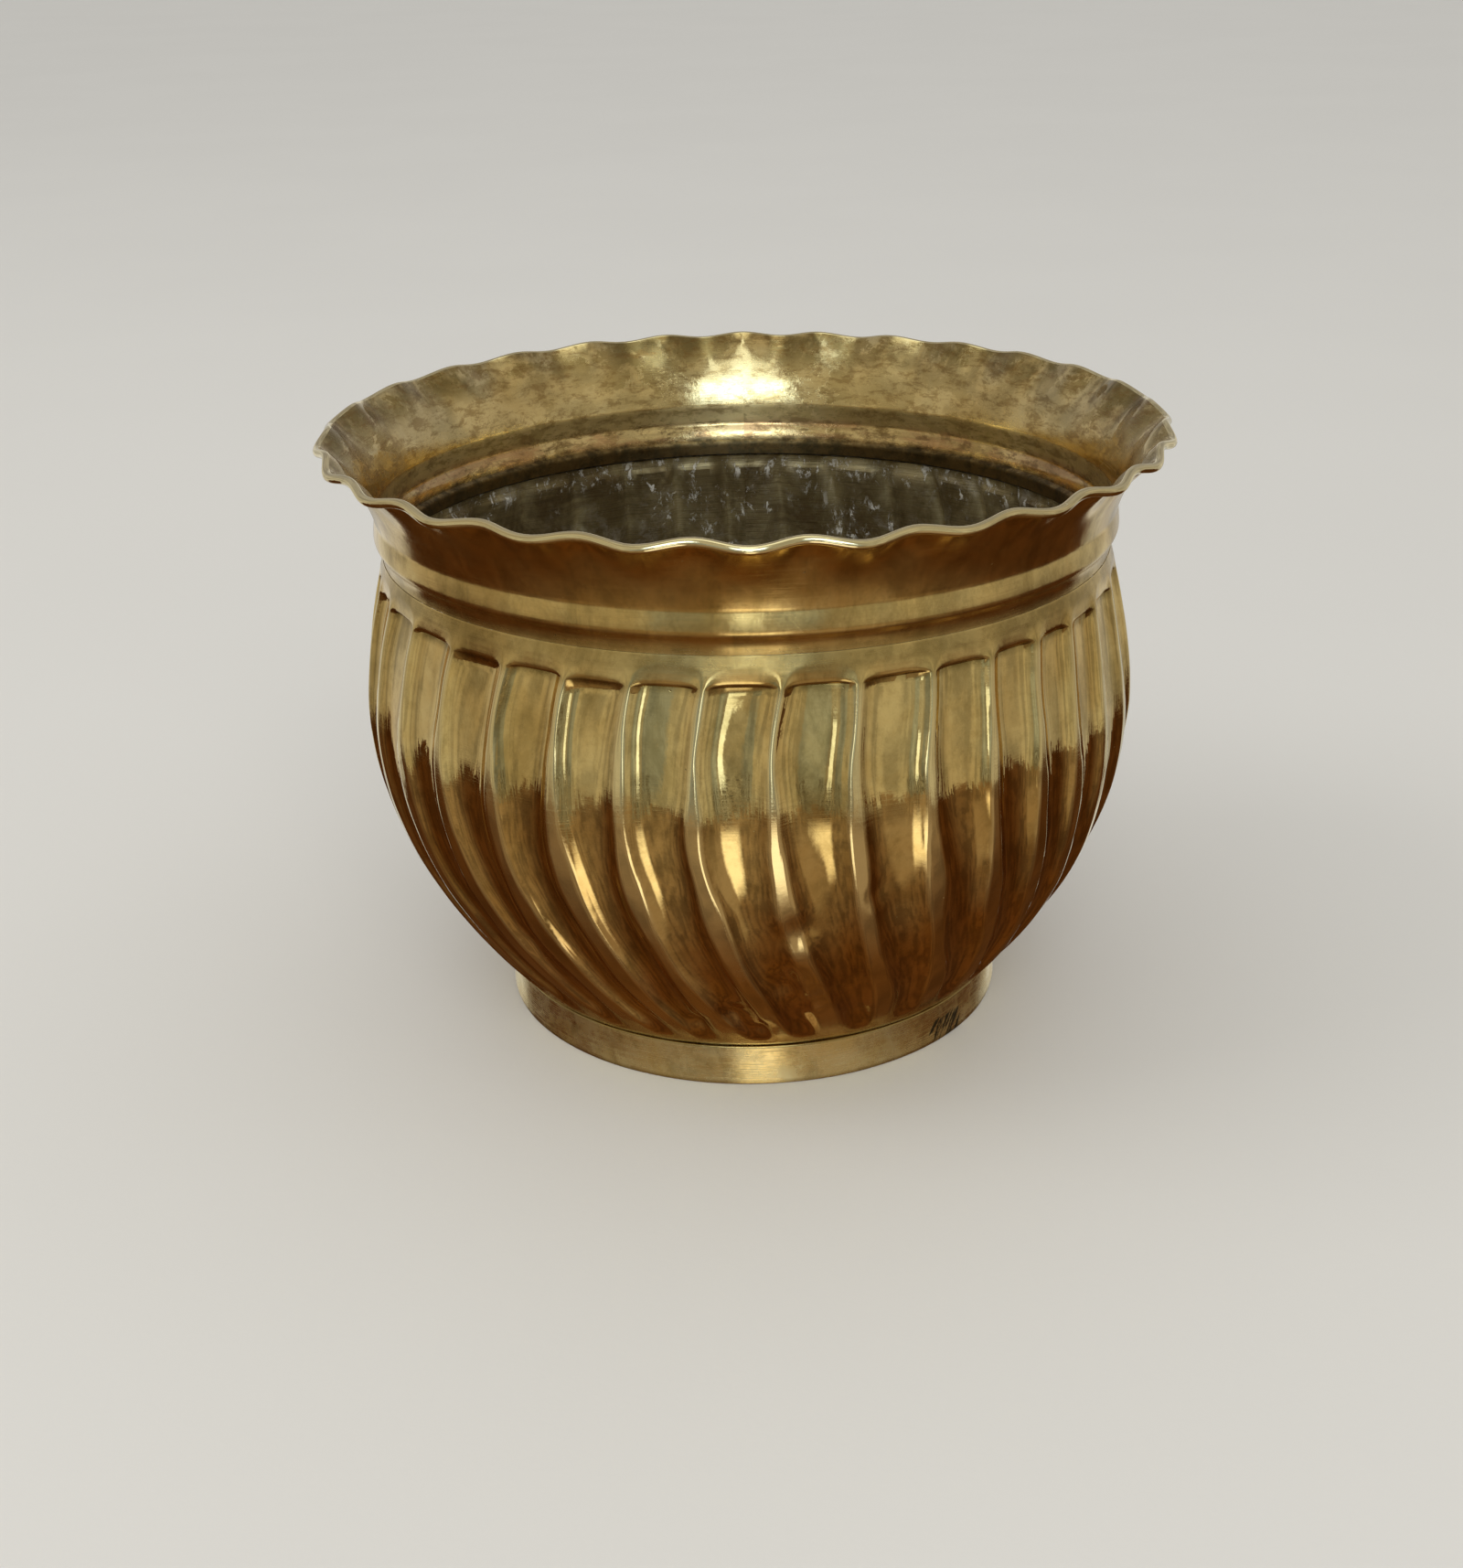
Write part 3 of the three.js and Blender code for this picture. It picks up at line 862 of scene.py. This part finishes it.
class Sky(Nodes):
    """The world's nodes: the light all round the pot, by turn and rise in degrees.

    Turn runs from the front towards +X, as on the pot, and rise from the horizon up.
    """

    def __init__(self):
        self.world = bpy.data.worlds.new("studio")
        self.world.use_nodes = True
        self.tree = self.world.node_tree
        self.towards = self.add("TexCoord").outputs["Generated"]
        x, y, z = self.add("SeparateXYZ", {0: self.towards}).outputs
        degrees = 180 / math.pi
        self.turn = self.times(self.math("ARCTAN2", x, self.times(y, -1)), degrees)
        self.rise = self.times(self.math("ARCSINE", z), degrees)
        self.aside = self.math("ABSOLUTE", self.turn)

    def between(self, value, low, high, soft):
        """1 from low to high, fading out over `soft` degrees beyond them."""
        return self.times(self.range(value, low - soft, low), self.range(value, high + soft, high))

    def pane(self, turns, rises):
        """1 inside a rectangle; turns and rises are each (low, high, soft)."""
        return self.times(self.between(self.turn, *turns), self.between(self.rise, *rises))

    def mottle(self, scale, low, high):
        """A patchy factor between low and high, for a room full of things."""
        return self.range(self.noise(self.towards, scale, 4.0, 0.5), 0.38, 0.62, low, high)

    def tint(self, colour, factor):
        return self.blend(1.0, colour, factor, "MULTIPLY")

    def bands(self, value, stops):
        """Colours that run from one stop to the next; stops are (degrees, colour), 0 to 180."""
        node = self.add("ValToRGB", {0: self.math("DIVIDE", value, 180)})
        elements = node.color_ramp.elements
        for degrees, _ in stops[1:-1]:
            elements.new(degrees / 180)
        for element, (_, colour) in zip(elements, stops):
            element.color = (*colour, 1)
        return node.outputs[0]


def mirrored_room(sky):
    """Above the table: a warm grey room, a tall window in front and a pale wall behind."""
    room = sky.bands(sky.aside, [
        (0, (0.37, 0.36, 0.31)),
        (35, (0.42, 0.40, 0.33)),
        (62, (0.41, 0.38, 0.31)),
        (88, (0.33, 0.295, 0.235)),
        (118, (0.42, 0.40, 0.36)),
        (150, (0.56, 0.55, 0.52)),
        (180, (0.56, 0.55, 0.52)),
    ])
    high_behind = sky.times(sky.range(sky.aside, 100, 125), sky.range(sky.rise, 0, 18))
    room = sky.blend(high_behind, room, (0.32, 0.31, 0.31, 1))
    for turns, colour in (
        ((-27, -13, 3), (0.27, 0.30, 0.31, 1)),
        ((9, 20, 3), (0.35, 0.39, 0.40, 1)),
    ):
        room = sky.blend(sky.pane(turns, (-9, 6, 7)), room, colour)
    room = sky.tint(room, sky.mottle(5, 0.78, 1.2))

    doorway = sky.pane((-3, 3, 2), (-9, 4, 2))
    room = sky.blend(doorway, room, (1.40, 1.60, 1.75, 1))
    low_front = sky.times(sky.range(sky.aside, 30, 22), sky.range(sky.rise, -6, -10))
    things = sky.times(low_front, sky.mottle(34, 0.0, 1.2))
    room = sky.blend(things, room, (0.15, 0.14, 0.11, 1))
    room = sky.blend(sky.range(sky.rise, 70, 82), room, (1.10, 1.14, 1.05, 1))

    window = sky.pane((-14, 15, 5), (20, 54, 6))
    panes = sky.blend(sky.range(sky.rise, 34, 46), (1.90, 2.40, 3.00, 1), (1.10, 1.22, 1.30, 1))
    room = sky.blend(window, room, panes)
    fanlight = sky.pane((-6, 7, 4), (50, 80, 4))
    room = sky.blend(fanlight, room, (1.20, 1.35, 1.45, 1))
    for turns, rises in (
        ((-11, -6, 2), (27, 32, 2)),
        ((2, 5, 2), (22, 30, 2)),
        ((8, 12, 2), (29, 32, 2)),
    ):
        lamp = sky.pane(turns, rises)
        room = sky.blend(lamp, room, (7.0, 7.0, 6.0, 1))
    return room


def mirrored_table(sky):
    """Below: brown wood, paler towards the window, whose light lies on it as a streak."""
    wood = sky.blend(sky.range(sky.rise, -45, -85), (0.070, 0.027, 0.008, 1), (0.105, 0.042, 0.011, 1))
    glow = sky.times(sky.range(sky.aside, 105, 20), sky.range(sky.rise, -88, -30))
    wood = sky.blend(glow, wood, (0.26, 0.19, 0.12, 1))
    wood = sky.tint(wood, sky.mottle(9, 0.75, 1.25))
    patch = sky.pane((14, 46, 10), (-48, -28, 8))
    wood = sky.blend(patch, wood, (0.33, 0.25, 0.17, 1))
    streak = sky.pane((-3, 9, 8), (-42, -28, 10))
    return sky.blend(streak, wood, (1.40, 1.28, 1.08, 1))


def make_world():
    """A pale studio; only what the polished metal mirrors has the room and the table."""
    sky = Sky()
    far_edge = sky.times(sky.range(sky.aside, 105, 152), -16)
    far_edge = sky.plus(far_edge, sky.mottle(16, -1.6, 1.6))
    above = sky.range(sky.minus(sky.rise, far_edge), -16.2, -15.4)
    mirrored = sky.blend(above, mirrored_table(sky), mirrored_room(sky))
    rays = sky.add("LightPath").outputs
    plain = sky.blend(rays["Is Camera Ray"], (0.76, 0.75, 0.72, 1), (0.56, 0.56, 0.54, 1))
    light = sky.blend(rays["Is Glossy Ray"], plain, mirrored)
    sky.feed(sky.tree.nodes["Background"].inputs["Color"], light)
    bpy.context.scene.world = sky.world


def make_studio():
    make_floor()
    make_world()
    make_light("front", (0.3, -2.6, 2.0), (0, 0, 0.15), 22, (1.0, 0.99, 0.96))
    make_light("left", (-2.2, -0.4, 2.2), (0, 0, 0.1), 14, (1.0, 0.98, 0.94))
    bpy.context.scene.view_settings.view_transform = "Standard"


# ---- the scene ------------------------------------------------------------------------
make_camera()

polished = polished_brass("polished_brass", low_copper_and_reflection=0.7, haze=0.022, scratched=0.8)
spun = polished_brass("spun_brass", low_copper_and_reflection=0.0, haze=0.045, scratched=1.0)
tarnished = flare_brass()
dull = inside_brass()
worn = foot_brass()
solder = solder_metal()

bowl = make_bowl(polished, dull)
collar = make_collar(spun, tarnished)
foot = make_foot(worn)
neck_seam = make_solder("neck_solder_run", NECK_FILLET, 0.5, solder)
foot_seam = make_solder("foot_solder_run", FOOT_FILLET, 0.3, solder)

for made, node in (
    (bowl, "bowl"),
    (collar, "neck_collar"),
    (foot, "foot_ring"),
    (neck_seam, "neck_solder"),
    (foot_seam, "foot_solder"),
):
    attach(made, "root")
    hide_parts(node)

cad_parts["rim_wire"].material_slots[0].material = wire_metal()

make_studio()
